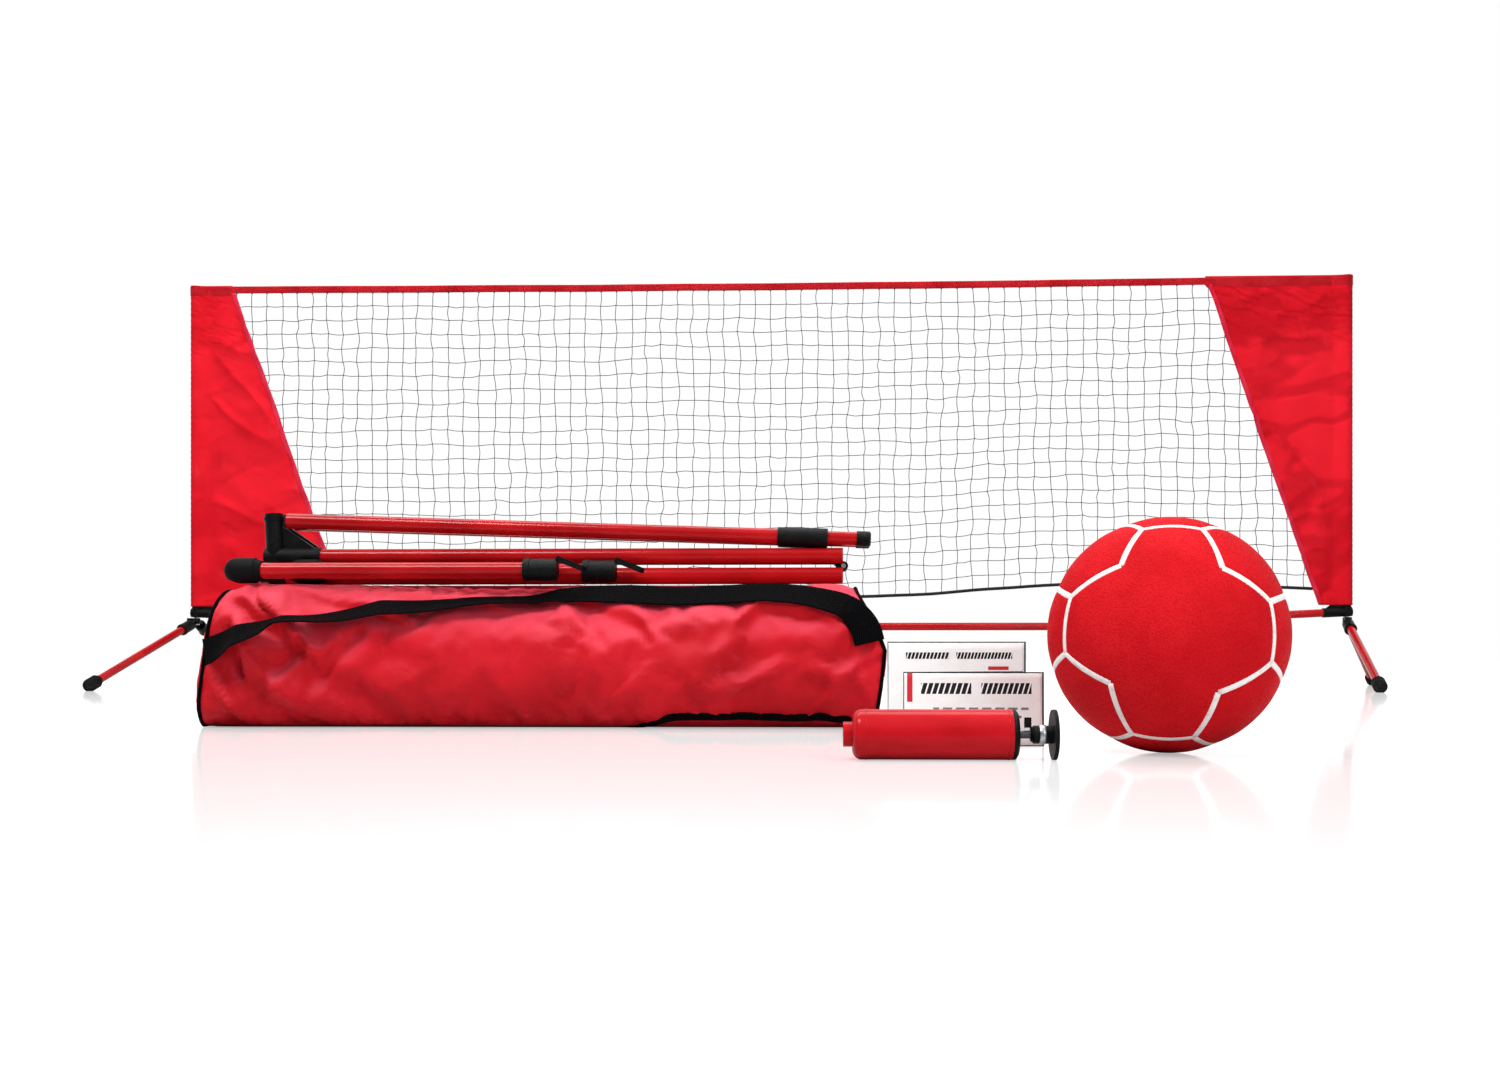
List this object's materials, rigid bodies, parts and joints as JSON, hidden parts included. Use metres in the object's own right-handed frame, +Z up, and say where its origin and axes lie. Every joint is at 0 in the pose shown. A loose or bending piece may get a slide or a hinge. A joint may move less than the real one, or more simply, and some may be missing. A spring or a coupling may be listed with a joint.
{
  "type": "soccer tennis net set",
  "caption": "Portable soccer tennis net on a folding tube frame with swing-out legs, shown with a second frame folded on its carry bag, a ball, a hand pump and leaflets.",
  "frame": {"origin": "on the ground, at the middle of the footprint of the whole set", "axes": "+X along the net from left to right as the player sees it, +Y away from the player, +Z up"},
  "size_m": [3.2967, 2.9974, 1.053],
  "materials": {
    "red_paint": "gloss enamel",
    "black_plastic": "satin moulded",
    "steel": "plain steel",
    "foot_rubber": "matt",
    "panel_cloth": "coated nylon",
    "tape_cloth": "woven tape",
    "twine": "twisted twine",
    "cord_black": "braided cord",
    "bag_cloth": "coated nylon",
    "webbing": "woven webbing",
    "zip_tape": "woven tape with coil",
    "ball_cover": "pebbled cover",
    "bladder_rubber": "smooth",
    "pump_red": "moulded",
    "pump_steel": "dark steel",
    "leaflet_card": "coated white card"
  },
  "bodies": {
    "set_base": {"upright_tubes": "red_paint", "upright_collars": "black_plastic", "upright_extensions": "red_paint", "upright_caps": "black_plastic", "hubs": "black_plastic", "base_tubes": "red_paint", "base_hinges": "black_plastic", "frame_pins": "steel", "panel_left": "panel_cloth", "panel_right": "panel_cloth", "top_tape": "tape_cloth", "bottom_cord": "cord_black", "net_mesh": "twine", "bag_shell": "bag_cloth", "bag_zip": "zip_tape", "bag_strap": "webbing"},
    "section_1": {"fold_tube_1": "red_paint", "fold_lugs_1": "black_plastic", "fold_hub_1": "black_plastic", "pole_tube_1": "red_paint", "pole_collar_1": "black_plastic"},
    "section_2": {"fold_tube_2": "red_paint", "fold_lugs_2": "black_plastic", "fold_pins_2": "steel"},
    "section_3": {"fold_tube_3": "red_paint", "fold_lugs_3": "black_plastic", "fold_pins_3": "steel"},
    "section_4": {"fold_tube_4": "red_paint", "fold_lugs_4": "black_plastic", "fold_hub_4": "black_plastic", "pole_tube_4": "red_paint", "pole_collar_4": "black_plastic"},
    "pole_upper_1": {"pole_extension_1": "red_paint"},
    "pole_upper_4": {"pole_extension_4": "red_paint"},
    "stowed_legs": {"stowed_leg_tubes": "red_paint", "stowed_knuckles": "black_plastic", "stowed_feet": "foot_rubber"},
    "zip_pull": {"zip_slider": "steel"},
    "ball": {"ball_cover": "ball_cover", "ball_bladder": "bladder_rubber", "ball_valve": "bladder_rubber"},
    "pump": {"pump_barrel": "pump_red", "pump_end_cap": "black_plastic"},
    "plunger": {"pump_rod": "pump_steel", "pump_handle": "black_plastic"},
    "leaflet_a": {"leaflet_front": "leaflet_card"},
    "leaflet_b": {"leaflet_rear": "leaflet_card"},
    "front_left_leg": {"leg_front_left": "red_paint", "knuckle_front_left": "black_plastic", "foot_front_left": "foot_rubber"},
    "front_right_leg": {"leg_front_right": "red_paint", "knuckle_front_right": "black_plastic", "foot_front_right": "foot_rubber"},
    "rear_left_leg": {"leg_rear_left": "red_paint", "knuckle_rear_left": "black_plastic", "foot_rear_left": "foot_rubber"},
    "rear_right_leg": {"leg_rear_right": "red_paint", "knuckle_rear_right": "black_plastic", "foot_rear_right": "foot_rubber"}
  },
  "joints": [
    {"name": "front_left_swing", "type": "hinge", "parent": "set_base", "child": "front_left_leg", "pos_m": [-1.536, 1.083, 0.17555], "axis": [0, 0, 1], "range_deg": [-21, 69]},
    {"name": "front_right_swing", "type": "hinge", "parent": "set_base", "child": "front_right_leg", "pos_m": [1.438, 1.083, 0.17555], "axis": [0, 0, 1], "range_deg": [-46, 44]},
    {"name": "rear_left_swing", "type": "hinge", "parent": "set_base", "child": "rear_left_leg", "pos_m": [-1.536, 1.083, 0.17555], "axis": [0, 0, 1], "range_deg": [-58, 32]},
    {"name": "rear_right_swing", "type": "hinge", "parent": "set_base", "child": "rear_right_leg", "pos_m": [1.438, 1.083, 0.17555], "axis": [0, 0, 1], "range_deg": [-6, 84]},
    {"name": "frame_lift", "type": "slide", "parent": "set_base", "child": "section_2", "axis": [0, 0, 1], "range_m": [0, 0.0801]},
    {"name": "fold_12", "type": "hinge", "parent": "section_2", "child": "section_1", "pos_m": [0.1165, -0.874, 0.2045], "axis": [0, 1, 0], "range_deg": [0, 180]},
    {"name": "fold_23", "type": "hinge", "parent": "section_2", "child": "section_3", "pos_m": [-0.6365, -0.859, 0.192], "axis": [0, 0, 1], "range_deg": [0, 180]},
    {"name": "fold_34", "type": "hinge", "parent": "section_3", "child": "section_4", "pos_m": [0.1165, -0.844, 0.2045], "axis": [0, 1, 0], "range_deg": [0, 180]},
    {"name": "pole_1_pull", "type": "slide", "parent": "section_1", "child": "pole_upper_1", "axis": [-0.9994, 0, 0.0341], "range_m": [-0.1, 0]},
    {"name": "pole_4_pull", "type": "slide", "parent": "section_4", "child": "pole_upper_4", "axis": [-0.9994, 0, 0.0341], "range_m": [-0.1, 0]},
    {"name": "stowed_legs_lift", "type": "slide", "parent": "set_base", "child": "stowed_legs", "axis": [0, 0, 1], "range_m": [0, 0.15]},
    {"name": "zip_run", "type": "slide", "parent": "set_base", "child": "zip_pull", "axis": [1, 0, 0], "range_m": [0, 0.58]},
    {"name": "ball_lift", "type": "slide", "parent": "set_base", "child": "ball", "axis": [0, 0, 1], "range_m": [0, 0.15]},
    {"name": "pump_lift", "type": "slide", "parent": "set_base", "child": "pump", "axis": [0, 0, 1], "range_m": [0, 0.15]},
    {"name": "plunger_stroke", "type": "slide", "parent": "pump", "child": "plunger", "axis": [1, 0, 0], "range_m": [-0.005, 0.09]},
    {"name": "leaflet_front_lift", "type": "slide", "parent": "set_base", "child": "leaflet_a", "axis": [0, 0, 1], "range_m": [0, 0.15]},
    {"name": "leaflet_rear_lift", "type": "slide", "parent": "set_base", "child": "leaflet_b", "axis": [0, 0, 1], "range_m": [0, 0.15]}
  ],
  "couplings": [
    {"joint": "fold_34", "follows": "fold_12", "ratio": 1},
    {"joint": "frame_lift", "follows": "fold_12", "m_per_rad": 0.025465}
  ]
}
